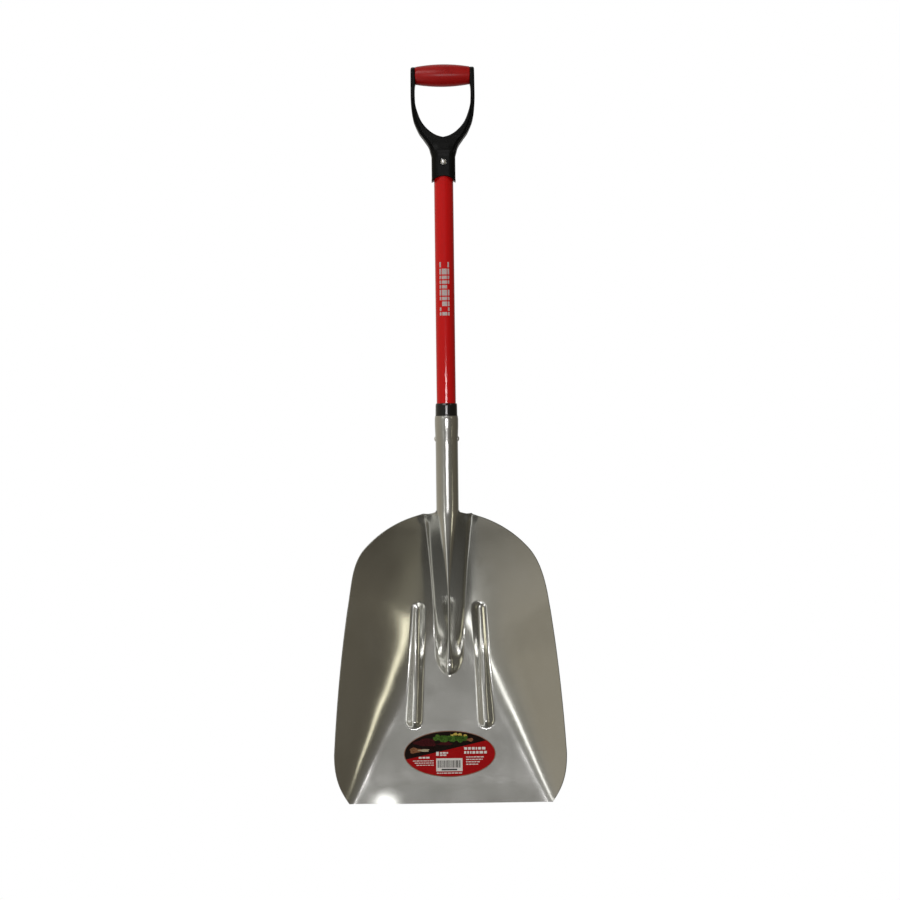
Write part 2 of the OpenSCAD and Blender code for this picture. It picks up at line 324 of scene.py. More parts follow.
M_SHEET = aluminium("sheet_aluminium", (90, 90, 1500))
M_EDGE, t, b = material("sheared_edge", metallic=1.0, roughness=0.4)
t.links.new(ramp(t, noise(t, (300, 300, 300), 3), [(0.3, (0.2, 0.2, 0.19)), (0.7, (0.42, 0.42, 0.4))]),
            b.inputs["Base Color"])
t.links.new(remap(t, noise(t, (700, 700, 150), 2), 0.3, 0.5), b.inputs["Roughness"])

M_STEEL, t, b = material("rivet_steel", metallic=1.0, roughness=0.25)
t.links.new(ramp(t, noise(t, (400, 400, 400), 3), [(0.3, (0.7, 0.7, 0.69)), (0.7, (0.92, 0.92, 0.91))]),
            b.inputs["Base Color"])
t.links.new(remap(t, noise(t, (250, 250, 250), 4), 0.18, 0.36), b.inputs["Roughness"])
bump(t, b, [(noise(t, (500, 500, 500), 2), 0.2, 0.0002)])

M_SHAFT, t, b = material("red_fibreglass", roughness=0.35, Coat_Weight=0.75, Coat_Roughness=0.06,
                          Specular_IOR_Level=0.05)
fibre = noise(t, (900, 900, 7), 4, 0.6)
patch = noise(t, (14, 14, 5), 3)
t.links.new(ramp(t, blend(t, fibre, patch, 0.55),
                 [(0.3, (0.66, 0.002, 0.003)), (0.5, (0.76, 0.003, 0.004)), (0.7, (0.84, 0.004, 0.005))]),
            b.inputs["Base Color"])
t.links.new(remap(t, fibre, 0.26, 0.42), b.inputs["Roughness"])
bump(t, b, [(fibre, 0.12, 0.00015), (patch, 0.1, 0.0006)])


def plastic(name, dark, light, r0, r1, grain, specular, coat=0.0):
    """Moulded plastic: colours from dark to light, roughness from r0 to r1."""
    m, t, b = material(name, roughness=0.4, Specular_IOR_Level=specular, Coat_Weight=coat,
                       Coat_Roughness=0.08)
    fine = noise(t, (grain, grain, grain), 2, 0.5)
    wide = noise(t, (30, 30, 30), 3)
    t.links.new(ramp(t, blend(t, fine, wide, 0.4), [(0.32, dark), (0.68, light)]), b.inputs["Base Color"])
    t.links.new(remap(t, wide, r0, r1), b.inputs["Roughness"])
    bump(t, b, [(fine, 0.18, 0.00012), (wide, 0.12, 0.0006)])
    return m


BLACKS = ((0.0018, 0.002, 0.0018), (0.004, 0.0045, 0.004))
M_BLACK = plastic("black_moulding", *BLACKS, 0.3, 0.42, 1400, 0.15)
M_COLLAR = plastic("black_bushing", *BLACKS, 0.3, 0.42, 1400, 0.15, coat=1.0)
M_GRIP = plastic("red_moulding", (0.4, 0.004, 0.004), (0.56, 0.007, 0.006), 0.26, 0.4, 1200, 0.35)
M_WOOD, t, b = material("plug_wood", roughness=0.7)
t.links.new(ramp(t, noise(t, (260, 260, 12), 4), [(0.3, (0.3, 0.17, 0.08)), (0.7, (0.55, 0.36, 0.2))]),
            b.inputs["Base Color"])
bump(t, b, [(noise(t, (500, 500, 20), 3), 0.3, 0.0003)])


def film(name, dark, light):
    """Printed film or ink."""
    rough = 0.3
    m, t, b = material(name, roughness=rough, Specular_IOR_Level=0.05)
    n = noise(t, (500, 500, 500), 3)
    t.links.new(ramp(t, n, [(0.3, dark), (0.7, light)]), b.inputs["Base Color"])
    t.links.new(remap(t, noise(t, (60, 60, 60), 3), rough - 0.05, rough + 0.1), b.inputs["Roughness"])
    return m


# ---------------------------------------------------------------- the sheet

# Heights run up from the lip. y runs away from the viewer, and the hollow side faces -y.
RIM_Z, TOP_Z, MOUTH_Z = 480.0, 487.0, 643.0  # the scoop's rim, where the socket begins, the socket's mouth
THICK, EDGE_BULGE = 2.0, 0.28
HALF_MAX, WIDE_Z, CORNER_IN = 191.3, 84.0, 19.6  # widest half, its height, and how far the lip is drawn in
CROWN_R, CROWN_Z, SHOULDER = 181.0, 303.5, 17.0  # the arc of the round top, and its blend into the sides
TUBE_R = 18.5
SEAM = math.radians(176)  # from the front of the socket round to either side of its seam
LIP_Y, FLOOR_SLOPE = 18.0, 0.259  # the floor at the lip, behind the shaft's axis, and its lean
LABEL_Z = 80.0  # the height of the label's middle
# the creases: half their distance at the lip, how fast they close in, and where they stop doing so
CREASE_X, CREASE_SLOPE, CREASE_END = 171.6, 0.41, 300.0
WALL_SLOPE, HEEL_SLOPE, HEEL_Z = 0.9, 0.6, 372.0  # how steeply the walls and the heel turn forward
RIB_LOW, RIB_TOP = (60.3, 133.0, 15.0), (51.0, 319.0, 12.5)  # x, height and half-width at each end of a rib
RIB_RISE = 7.0
NOSE_Z, NOSE_RISE, NOSE_L = 233.0, 12.5, 25.0  # the nose's height, how far it stands up, and its length
CREST_TOP = 457.0  # where the top of the ridge leaves the tube
FROG_LOW_W, FROG_GAIN = 22.5, 14.0  # half-width of the ridge at the nose, and what it gains up to the rim
LIP_BOW = (-76.0, 74.0, 300.0)  # centre of the bow at the lip, and its reach to the left and right


def hinge(d, r):
    """0 where d < -r and d where d > r, with a parabola between."""
    return np.where(d <= -r, 0, np.where(d >= r, d, (d + r) ** 2 / (4 * r)))


def soft_min(a, b, k):
    """The smaller of a and b, blended where they differ by less than k."""
    h = np.clip(0.5 + 0.5 * (b - a) / k, 0, 1)
    return mix(b, a, h) - k * h * (1 - h)


def floor_y(z):
    """The flat floor of the scoop, which leans back from the lip."""
    return LIP_Y + FLOOR_SLOPE * z


def half_width(z):
    """Half the width of the outline: lip corners, sides, round top and the web up to the socket."""
    v = z - WIDE_Z
    below = HALF_MAX - CORNER_IN * (np.maximum(-v, 0) / 79) ** 2.4
    side = np.where(v < 0, below, HALF_MAX - 0.06 * v - 0.00017 * v * v)
    arc = (np.sqrt(np.maximum(0, CROWN_R ** 2 - np.maximum(0, z - CROWN_Z) ** 2))
           + 0.3 * np.maximum(0, 330 - z))
    rim = math.sqrt(CROWN_R ** 2 - (RIM_Z - CROWN_Z) ** 2)
    web = TUBE_R + (rim - TUBE_R) * np.clip((TOP_Z - z) / (TOP_Z - RIM_Z), 0, 1) ** 2
    return np.where(z > RIM_Z, web, soft_min(side, arc, SHOULDER))


def crease_x(z):
    """Half the distance between the creases at the foot of the walls."""
    return CREASE_X - CREASE_SLOPE * (z - hinge(z - CREASE_END, 80))


def dish(x, z):
    """The scoop without its ridge and ribs: the floor, the walls that turn forward, and the heel."""
    d = (np.abs(x) - crease_x(z)) / math.sqrt(1 + CREASE_SLOPE ** 2)
    bend = 14 + 0.12 * z + 190 * smooth((z - 240) / 250)
    return floor_y(z) - WALL_SLOPE * hinge(d, bend) - HEEL_SLOPE * hinge(z - HEEL_Z, 80)


def waves(x, z):
    """The faint unevenness of pressed sheet, left out under the label and near the socket."""
    w = (np.sin(x / 11 + 1.3 * np.sin(z / 31) + z / 47) + np.sin(z / 13 - x / 29 + 2.1)
         + 0.8 * np.sin(x / 23 + z / 19 + 0.7))
    off_label = smooth(np.hypot(x / 84, (z - LABEL_Z) / 46) * 4 - 4)
    return 0.09 * w * off_label * (1 - smooth((z - 440) / 30))


def crest(z):
    """The line along the top of the ridge, which ends in a blunt nose."""
    top = floor_y(NOSE_Z) - NOSE_RISE
    line = -TUBE_R + (top + TUBE_R) / (CREST_TOP - NOSE_Z) * hinge(CREST_TOP - z, 40)
    drop = np.sqrt(np.maximum(0, 1 - (np.maximum(0, NOSE_Z - z) / NOSE_L) ** 2))
    nose = floor_y(z) - NOSE_RISE * drop + 0.8 * np.maximum(0, NOSE_Z - NOSE_L - z)
    return np.where(z > NOSE_Z, line, nose)


def ridge_half(z):
    """Half the width of the ridge, where its flanks meet the dish."""
    body = FROG_LOW_W + FROG_GAIN * np.clip((z - (NOSE_Z + 23)) / 221, 0, 1) ** 1.6
    return body * np.sqrt(np.maximum(0.01, 1 - np.clip((NOSE_Z + 12 - z) / 36, 0, 1) ** 2))


def ridge_round(z):
    """The radius of the ridge's top: the tube's at the rim, sharp lower down, blunt at the nose."""
    return mix(2.2, TUBE_R, np.clip((z - 355) / 129, 0, 1)) + 9 * smooth((NOSE_Z + 39 - z) / 50)


def frog(x, z):
    """The ridge: a round top of radius r, with straight flanks of slope s down to the dish."""
    half, r = ridge_half(z), ridge_round(z)
    rise = np.maximum(0.5, dish(half, z) - crest(z))
    s = rise / half
    for _ in range(8):
        s = (rise + r * (np.sqrt(1 + s * s) - 1)) / half
    a = np.minimum(np.abs(x), r * s / np.sqrt(1 + s * s))
    beyond = 1.2 * np.maximum(0, np.abs(x) - half)
    return crest(z) + r - np.sqrt(r * r - a * a) + s * (np.abs(x) - a) + beyond


def ribs(x, z):
    """The two long raised ribs, with round ends."""
    t = np.clip((z - RIB_LOW[1]) / (RIB_TOP[1] - RIB_LOW[1]), 0, 1)
    at_x, at_z, half = (mix(a, b, t) for a, b in zip(RIB_LOW, RIB_TOP))
    q = np.hypot(np.abs(x) - at_x, z - at_z) / half
    return RIB_RISE * (1 - smooth((q - 0.12) / 0.88))


def lip_bow(x, z):
    """The slight bow of the floor towards the lip."""
    at, left, right = LIP_BOW
    q = np.where(x < at, (x - at) / left, (x - at) / right)
    return 5.0 * np.maximum(0, 1 - q * q) ** 2 * (1 - smooth((z + 12) / 44))


def front(x, z):
    """The face of the sheet on the hollow side."""
    blend_by = mix(4.0, 12.0, smooth((z - 225) / 90))
    y = soft_min(dish(x, z), frog(x, z), blend_by) - ribs(x, z) - lip_bow(x, z)
    dimples = 2.4 * np.exp(-((np.abs(x) - 38.5) ** 2 + (z - 474.5) ** 2) / 40)
    y += waves(x, z) + dimples
    tube = -np.sqrt(np.maximum(0, TUBE_R ** 2 - np.minimum(np.abs(x), TUBE_R) ** 2))
    near = smooth((z - TOP_Z + 16) / 16) * (np.abs(x) <= TUBE_R)
    return mix(y, tube, near)


def sheet_rows():
    """Heights of the mesh's rows, closer together where the ribs and the nose begin and end."""
    steps = [(8, 110, 4.0), (110, 150, 1.8), (150, 206, 3.4), (206, 246, 1.6), (246, 306, 2.8),
             (306, 336, 1.6), (336, 416, 2.8)]
    arc = np.linspace(*[math.asin((z - CROWN_Z) / CROWN_R) for z in (416, RIM_Z)], 30)
    return np.concatenate([[0, 1.2, 3, 5.5], *[np.arange(*step) for step in steps],
                           CROWN_Z + CROWN_R * np.sin(arc), RIM_Z + np.arange(1, 7)])


def sheet_face():
    """Points on the hollow side: rows up the scoop, then rows up the socket that it wraps into."""
    t = np.linspace(-1, 1, 189)[None]
    z = sheet_rows()[:, None]
    s = mix(np.sinh(2.4 * t) / math.sinh(2.4), np.sin(math.pi / 2 * t), smooth((z - 390) / (TOP_Z - 390)))
    lean = 2.8 * smooth((z - 340) / 90) * s * s * (z < RIM_Z)
    x = half_width(z) * s - lean
    low = np.stack([x, front(x, z), np.broadcast_to(z, x.shape)], -1)
    tz = np.concatenate([np.arange(TOP_Z, 515, 2.0), np.arange(515, 612, 5.0),
                         np.arange(612, MOUTH_Z + 0.6, 1.5)])[:, None]
    # both edges turn from the sides to the seam at the back; the mouth is wider, with its rim turned in
    wrap = math.pi / 2 + (SEAM - math.pi / 2) * smooth((tz - TOP_Z) / 30.0)
    r = TUBE_R + 1.0 * smooth((tz - 598) / 34.0) - 0.5 * smooth((tz - MOUTH_Z + 4) / 4.0)
    a = wrap * t
    tube = np.stack([r * np.sin(a), -r * np.cos(a), np.broadcast_to(tz, a.shape)], -1)
    return np.concatenate([low, tube])


def build_sheet():
    """The face, its back one thickness behind it, and a rounded edge between them all the way round."""
    P = sheet_face()
    n = np.cross(np.gradient(P, axis=1), np.gradient(P, axis=0))
    n /= np.linalg.norm(n, axis=-1, keepdims=True) + 1e-12
    B = P - n * THICK
    B[0, :, 2] = np.maximum(B[0, :, 2], 0)
    rows, w = P.shape[:2]
    loop = ([(0, j) for j in range(w)] + [(i, w - 1) for i in range(1, rows)]
            + [(rows - 1, j) for j in range(w - 2, -1, -1)] + [(i, 0) for i in range(rows - 2, 0, -1)])
    li = np.array(loop)
    inner = np.clip(li, [1, 1], [rows - 2, w - 2])
    face, rear, normal = (A[li[:, 0], li[:, 1]] for A in (P, B, n))
    # outwards along the sheet at each point of the edge
    out = face - P[inner[:, 0], inner[:, 1]]
    out -= normal * np.einsum("ij,ij->i", out, normal)[:, None]
    out /= np.linalg.norm(out, axis=1, keepdims=True) + 1e-12
    out[li[:, 0] == 0] *= [1, 1, 0]
    rings = [mix(face, rear, across) + out * EDGE_BULGE for across in (0.14, 0.86)]
    verts = np.concatenate([P.reshape(-1, 3), B.reshape(-1, 3), *rings])
    m = rows * w
    around = len(loop)
    faces = grid_faces(rows, w) + grid_faces(rows, w, base=m, flip=True)
    mats = [0] * len(faces)
    first = li[:, 0] * w + li[:, 1]
    chain = [first, 2 * m + np.arange(around), 2 * m + around + np.arange(around), m + first]
    for a, b in zip(chain, chain[1:]):
        faces += np.stack([a, b, np.roll(b, -1), np.roll(a, -1)], -1).tolist()
        mats += [1] * around
    return verts, faces, mats


v, f, mats = build_sheet()
piece("scoop_and_socket", v, f, [M_SHEET, M_EDGE], ("scoop_blade", "socket_tube"),
      sharp=50, face_mats=mats)

# ---------------------------------------------------------------- shaft, collar, rivets

SHAFT_R, SHAFT_BORE_R = 15.875, 12.7
SHAFT_LOW, SHAFT_TOP = 488.0, 1091.0
BORE_R = SHAFT_R + 0.05  # the bores that the shaft goes into

# the extra rings beside each rounded end keep the long faces' shading straight along the axis
SHAFT = [(SHAFT_BORE_R, SHAFT_LOW, 0.4), (SHAFT_R, SHAFT_LOW, 0.4), (SHAFT_R, SHAFT_LOW + 1.5, 0),
         (SHAFT_R, SHAFT_TOP - 1.5, 0), (SHAFT_R, SHAFT_TOP, 0.4), (SHAFT_BORE_R, SHAFT_TOP, 0.4)]
COLLAR = [(BORE_R, 632, 0.3), (17.9, 632, 0.3), (17.9, 643.2, 0), (18.2, 643.8, 0.5), (18.1, 646, 0.5),
          (18.08, 647.5, 0), (17.92, 660, 0), (17.9, 661.5, 1.2), (17.3, 664.3, 0.8), (BORE_R, 664.5, 0.3)]


def turned(corners):
    """A solid of revolution from corners of (radius, height, rounding)."""
    return lathe(rounded([c[:2] for c in corners], [c[2] for c in corners]), 144)


v, f = turned(SHAFT)
piece("shaft_tube", v, f, M_SHAFT, ("shaft",))
v, f = turned(COLLAR)
piece("collar_ring", v, f, M_COLLAR, ("collar",))


def rivet(axis, reach, seat, head, rise, z):
    """A cross rivet: a shank and, at each end, a head of radius head whose dome tops out at reach + rise."""
    n = 48
    shank = 3.0
    sphere = (head * head + rise * rise) / (2 * rise)
    dome = [(sphere * math.sin(a), reach + rise - sphere + sphere * math.cos(a))
            for a in np.linspace(math.asin(min(1, head / sphere)), 0.02, 12)]
    half = [(shank, seat), (head - 0.3, seat), (head, seat + 0.3)] + dome
    loop = [(shank, 0.0)] + half + [(r, -h) for r, h in half[::-1]]
    v, f = lathe(loop, n, axis, (0, 0, z))
    # the rings at the tops of the two domes follow each other: caps take the place of the faces between them
    top = len(half)
    f = [q for q in f if {i // n for i in q} != {top, top + 1}]
    caps = [tuple(range(top * n, (top + 1) * n)), tuple(range((top + 1) * n, (top + 2) * n))[::-1]]
    return v, f + caps


SOCKET_RIVET_Z, GRIP_RIVET_Z = 606.0, 1061.7
RIVET_SEAT_Y = 18.75  # the flats on the ferrule, front and back, under the grip rivet's heads
v, f = rivet("x", 18.5, 17.7, 4.6, 2.2, SOCKET_RIVET_Z)
piece("socket_cross_rivet", v, f, M_STEEL, ("socket_rivet",))
v, f = rivet("y", 18.85, RIVET_SEAT_Y, 4.8, 2.2, GRIP_RIVET_Z)
piece("grip_cross_rivet", v, f, M_STEEL, ("grip_rivet",))

# ---------------------------------------------------------------- D-grip

BARREL_Z, BARREL_HALF = 1207.0, 45.2
FERRULE_R, FERRULE_LOW, FERRULE_TOP = 19.65, 1030.4, 1090.0
ARM_Y, HAND_Y = 12.8, 14.2  # half the depth of the arms at their middle, and of the eyes round the crossbar
# the yoke's outline and the hand opening: points of (height, half-width)
OUTER = np.array([(1025, FERRULE_R), (1071, 20.0), (1077.6, 20.9), (1084.5, 22.6), (1091, 25.4),
                  (1097.8, 29.9), (1104.5, 34.9), (1111, 39.6), (1117.8, 43), (1124.5, 46),
                  (1131, 48.4), (1137.8, 49.9), (1144.5, 51.1), (1157.8, 52.4), (1171, 52.9),
                  (1190, 52.8), (1230, 52.5)])
OPENING = np.array([(1103.6, 0), (1104.6, 5), (1108, 13.6), (1115, 23.3), (1122, 30), (1129, 35),
                    (1136.5, 38.6), (1143.5, 41.2), (1150.5, 43.4), (1157.4, 45.0), (1164.5, 45.8),
                    (1180, 46.2), (1190, 45.7), (1195, 44.7), (1230, 44.7)])
HAND_Z = OPENING[0, 0]
GRIP_BORE_TOP = 1092.0
GROOVE_IN, GROOVE_HALF, GROOVE_DEEP = 4.4, 1.2, 3.0  # from the arm's edge to its middle, half-width, depth
GROOVE_LOW, GROOVE_TOP = 1070.0, 1168.0
ARCH_R, ARCH_Z = 27.6, 1011.0  # the arch that the ferrule's lower edge is cut to, and its centre
SEAT_R = 5.3


def curve(z, points):
    """A smooth curve through points of (height, value): a monotone cubic."""
    zs, xs = points.T
    d = np.diff(xs) / np.diff(zs)
    product = d[:-1] * d[1:]
    harmonic = np.where(product > 0, 2 * product / (d[:-1] + d[1:] + 1e-12), 0)
    m = np.concatenate([[d[0]], harmonic, [d[-1]]])
    i = np.clip(np.searchsorted(zs, z) - 1, 0, len(zs) - 2)
    h = zs[i + 1] - zs[i]
    t = np.clip((z - zs[i]) / h, 0, 1)
    return ((2 * t ** 3 - 3 * t ** 2 + 1) * xs[i] + (t ** 3 - 2 * t ** 2 + t) * h * m[i]
            + (-2 * t ** 3 + 3 * t ** 2) * xs[i + 1] + (t ** 3 - t ** 2) * h * m[i + 1])


def smax(a, b, k):
    """The larger of a and b, blended like soft_min: of two solids it is what they share."""
    return -soft_min(-a, -b, k)


def build_yoke():
    """Ferrule and arms as one field of distances, negative inside, turned into a mesh of cells h wide."""
    h = 0.85
    right = np.arange(0, 57, h)
    xs = np.concatenate([-right[:0:-1], right])
    ys = np.arange(-23, 23 + h, h)
    zs = np.arange(1026, 1228, h)
    X, Y, Z = np.meshgrid(xs, ys, zs, indexing="ij")
    ax, ay = np.abs(X), np.abs(Y)
    # the arms: inside the outline, outside the opening, and no deeper than depth
    out, opening = curve(zs, OUTER), curve(np.maximum(zs, HAND_Z), OPENING)
    out_slant = np.sqrt(1 + np.gradient(out, zs) ** 2)
    opening_slant = np.sqrt(1 + np.clip(np.gradient(opening, zs), 0, 6) ** 2)
    d_out = (ax - out) / out_slant
    d_in = np.where(zs < HAND_Z, np.maximum(-8.0, Z - HAND_Z), (opening - ax) / opening_slant)
    depth = np.where(zs < 1140, mix(FERRULE_R, ARM_Y, smooth((zs - 1074) / 66.0)),
                     mix(ARM_Y, HAND_Y, smooth((zs - 1140) / 60.0)))
    d_depth = np.where(Z > BARREL_Z, np.hypot(Y, Z - BARREL_Z) - HAND_Y, ay - depth)
    arms = smax(smax(d_out, d_depth, mix(14.0, 3.5, smooth((Z - 1066) / 34))), d_in, 1.6)
    # the ferrule, which the arms grow out of
    corner = 12.0
    half = FERRULE_R + 0.5 * smooth((1036 - Z) / 6.0) - corner
    ferrule = np.hypot(np.maximum(ax - half, 0), np.maximum(ay - half, 0)) - corner
    ferrule = smax(ferrule, Z - FERRULE_TOP, 12.0)
    body = soft_min(np.where(Z > 1062, arms + 8 * smooth((1082 - Z) / 20), 50.0), ferrule, 5.0)
    # a groove just inside the outer edge of each arm, front and back
    groove = smax((np.abs(ax - out + GROOVE_IN) - GROOVE_HALF) / out_slant, depth - GROOVE_DEEP - ay, 0.8)
    groove = smax(groove, np.maximum(GROOVE_LOW - Z, Z - GROOVE_TOP), 2.0)
    body = smax(body, -groove, 0.8)
    bore = smax(np.hypot(X, Y) - BORE_R, Z - GRIP_BORE_TOP, 0.5)
    body = smax(body, -bore, 0.6)
    # the ferrule's lower edge: arched front and back, straight at the sides
    arch = np.hypot(X, Z - ARCH_Z) - ARCH_R
    body = smax(body, -arch, 1.2)
    body = smax(body, FERRULE_LOW - Z, 1.0)
    seat = smax(np.hypot(X, Z - GRIP_RIVET_Z) - SEAT_R, RIVET_SEAT_Y - ay, 0.4)
    body = smax(body, -seat, 0.7)
    return surface_net(body, np.array([xs[0], ys[0], zs[0]]), h)


def along_x(profile, n):
    """A solid of revolution round the grip's crossbar."""
    return lathe(profile, n, "x", (0, 0, BARREL_Z))


BAR_R, BAR_HALF = 8.0, 47.2
bar = along_x(rounded([(0.3, -BAR_HALF), (BAR_R, -BAR_HALF), (BAR_R, BAR_HALF), (0.3, BAR_HALF)], 0.3), 48)
v, f = join(build_yoke(), bar)
piece("d_grip_yoke", v, f, M_BLACK, ("grip_yoke",), sharp=55)

# the barrel bulges in the middle
BARREL_BORE_R, BARREL_END_R, BARREL_BULGE, SHOULDER_R = 8.2, 14.5, 3.9, 13.6
bulge = [(BARREL_END_R + BARREL_BULGE * (1 - (x / BARREL_HALF) ** 2), x)
         for x in np.linspace(-BARREL_HALF + 0.9, BARREL_HALF - 0.9, 41)]
profile = [(BARREL_BORE_R, -BARREL_HALF), (SHOULDER_R, -BARREL_HALF), *bulge, (SHOULDER_R, BARREL_HALF),
           (BARREL_BORE_R, BARREL_HALF)]
v, f = along_x(rounded(profile, [0.2, 0.6] + [0] * len(bulge) + [0.6, 0.2], 3), 128)
piece("grip_barrel_sleeve", v, f, M_GRIP, ("grip_barrel",))

# ---------------------------------------------------------------- label and decal (generic marks)

TILT = math.atan(FLOOR_SLOPE)
LABEL_SHIFT = (-1.2, -1.5)  # the sticker sits a little to the left and low


def on_floor(uv, up):
    """Label coordinates (right, up the floor) to millimetres, raised by up."""
    uv = np.asarray(uv, float)
    s, c = math.sin(TILT), math.cos(TILT)
    x, k = uv[:, 0] + LABEL_SHIFT[0], uv[:, 1] + LABEL_SHIFT[1]
    return np.stack([x, floor_y(LABEL_Z) + k * s - up * c, LABEL_Z + k * c + up * s], -1)


def plate(uv, low, high):
    """A flat plate with the outline uv, from low to high above the floor."""
    n = len(uv)
    v = np.concatenate([on_floor(uv, low), on_floor(uv, high)])
    f = [tuple(range(n))[::-1], tuple(range(n, 2 * n))]
    f += [(i, (i + 1) % n, n + (i + 1) % n, n + i) for i in range(n)]
    return v, f


def ellipse(a, b, n=120):
    """The outline with half-axes a and b."""
    t = np.arange(n) * 2 * math.pi / n
    return np.stack([a * np.cos(t), b * np.sin(t)], -1)


def clip(poly, nx, ny, d):
    """Keeps the side where nx*u + ny*v >= d."""
    out = []
    s = poly @ np.array([nx, ny]) - d
    for i in range(len(poly)):
        j = (i + 1) % len(poly)
        if s[i] >= 0:
            out.append(poly[i])
        if s[i] * s[j] < 0:
            out.append(poly[i] + (poly[j] - poly[i]) * s[i] / (s[i] - s[j]))
    return np.array(out)


def rect(x0, y0, x1, y1):
    """The outline of a rectangle between two opposite corners."""
    return np.array([[x0, y0], [x1, y0], [x1, y1], [x0, y1]], float)


def blob(cx, cy, a, b, seed, n=28):
    """An irregular ellipse."""
    r = np.random.default_rng(seed)
    t = np.arange(n) * 2 * math.pi / n
    k = 1 + 0.16 * np.sin(3 * t + r.uniform(0, 6)) + 0.1 * np.sin(5 * t + r.uniform(0, 6))
    return np.stack([cx + a * k * np.cos(t), cy + b * k * np.sin(t)], -1)


LABEL = [film("label_border", (0.2, 0.1, 0.07), (0.3, 0.16, 0.11)),
         film("label_red", (0.34, 0.002, 0.004), (0.44, 0.005, 0.006)),
         film("label_dark", (0.003, 0.002, 0.001), (0.016, 0.006, 0.004)),
         film("label_green", (0.02, 0.07, 0.006), (0.09, 0.19, 0.03)),
         film("label_yellow", (0.5, 0.36, 0.05), (0.62, 0.5, 0.14)),
         film("label_white", (0.72, 0.7, 0.68), (0.82, 0.8, 0.78)),
         film("label_ink", (0.02, 0.02, 0.02), (0.05, 0.05, 0.05)),
         film("label_tan", (0.14, 0.05, 0.02), (0.34, 0.16, 0.08)),
         film("label_maroon", (0.03, 0.003, 0.004), (0.07, 0.008, 0.01)),
         film("label_straw", (0.4, 0.34, 0.22), (0.5, 0.44, 0.3))]


BORDER, RED, DARK, GREEN, YELLOW, WHITE, INK, TAN, MAROON, STRAW = range(len(LABEL))
STICKER, LAYER = 0.16, 0.03  # thickness of the sticker's sheet, and of each layer of print on it


def build_label():
    """The sticker as thin plates on each other, with generic shapes and bars for its print."""
    parts, mats = [], []

    def add(uv, level, m):
        """One plate with the outline uv: level 0 is the sheet, and the others lie on it in order."""
        base = 0.0 if level == 0 else STICKER + LAYER * (level - 1)
        v, f = plate(uv, base, STICKER + LAYER * level)
        parts.append((v, f))
        mats.extend([m] * len(f))

    def bars(x0, x1, y, h, seed, gap):
        """A row of plain bars in the place of a line of print."""
        r = np.random.default_rng(seed)
        x = x0
        while x < x1 - 1:
            w = min(r.uniform(2.2, 6.0), x1 - x)
            add(rect(x, y, x + w, y + h), 3, WHITE)
            x += w + gap

    add(ellipse(76.8, 38.6), 0, BORDER)
    inner = ellipse(75.4, 37.2)
    add(inner, 1, RED)
    add(clip(inner, -0.22, 0.975, 7.5), 2, DARK)
    # simple shapes in the dark field: layer, colour, then centre, half-axes and seed of each
    shapes = [(3, MAROON, ((-40, 19, 18, 6.5, 15), (-8, 17, 12, 3, 16))),
              (4, GREEN, ((-20, 26.5, 8, 4.8, 1), (-8, 25, 9, 5.6, 2), (5, 25.5, 9, 5.4, 3),
                          (17, 24.5, 8, 5.2, 4), (25, 25.5, 6, 4.4, 5))),
              (5, YELLOW, ((10, 32.5, 4, 2.2, 6), (17, 32, 4, 2, 7), (26, 30.5, 3, 1.6, 8),
                           (4, 31, 2.4, 1.4, 9))),
              (4, TAN, ((-58, 6, 10, 4.4, 12), (34, 23, 6, 2.6, 14))),
              (5, STRAW, ((-43, 6, 9, 2.2, 13),))]
    for level, m, blobs in shapes:
        for b in blobs:
            add(blob(*b), level, m)
    # a white box with a pattern of stripes that encodes nothing
    add(rect(-23, -29, 21, -7.5), 3, WHITE)
    x = -20.5
    r = np.random.default_rng(3)
    while x < 17.5:
        w = r.choice([0.5, 0.8, 1.3])
        add(rect(x, -23, x + w, -11), 4, INK)
        x += w + r.choice([0.5, 0.8, 1.1])
    add(rect(-14, -27.4, 12, -25), 4, INK)
    for y, seed in ((6.5, 21), (-0.2, 22)):
        bars(24, 62, y, 4.2, seed, 1.6)
    for k, y in enumerate((-6.5, -10.5, -14.5, -18.5)):
        bars(27, 58 - 3 * k, y, 1.6, 30 + k, 1.0)
    bars(-52, -33, -7.5, 2.8, 40, 1.2)
    for k, y in enumerate((-12.0, -15.6, -19.2)):
        bars(-62 + 3 * k, -27, y, 1.3, 50 + k, 0.9)
    bars(-22, 20, -32.8, 1.6, 60, 1.0)
    add(rect(-23, -3, -18.5, 3.5), 3, WHITE)
    bars(-16.5, -3, 0.2, 2.6, 61, 1.0)
    bars(-16.5, -5, -3.4, 2.4, 62, 1.0)
    return *join(*parts), mats


v, f, mats = build_label()
piece("oval_label", v, f, LABEL, ("blade_label",), sharp=30, face_mats=mats)

M_DECAL = film("decal_ink", (0.62, 0.5, 0.5), (0.74, 0.64, 0.64))


def curved_bar(x0, x1, z0, z1):
    """A thin patch that lies on the front of the shaft."""
    nx, nz = 7, 4
    x = np.linspace(x0, x1, nx)[None]
    z = np.linspace(z0, z1, nz)[:, None]
    a = np.arcsin(x / SHAFT_R) + 0 * z
    v = np.concatenate([np.stack([r * np.sin(a), -r * np.cos(a), z + 0 * a], -1).reshape(-1, 3)
                        for r in (SHAFT_R + 0.02, SHAFT_R + 0.14)])
    m = nx * nz
    f = grid_faces(nz, nx) + grid_faces(nz, nx, base=m, flip=True)
    edge = (list(range(nx)) + [i * nx + nx - 1 for i in range(1, nz)]
            + [(nz - 1) * nx + j for j in range(nx - 2, -1, -1)] + [i * nx for i in range(nz - 2, 0, -1)])
    f += [(m + a, m + b, b, a) for a, b in zip(edge, edge[1:] + edge[:1])]
    return v, f


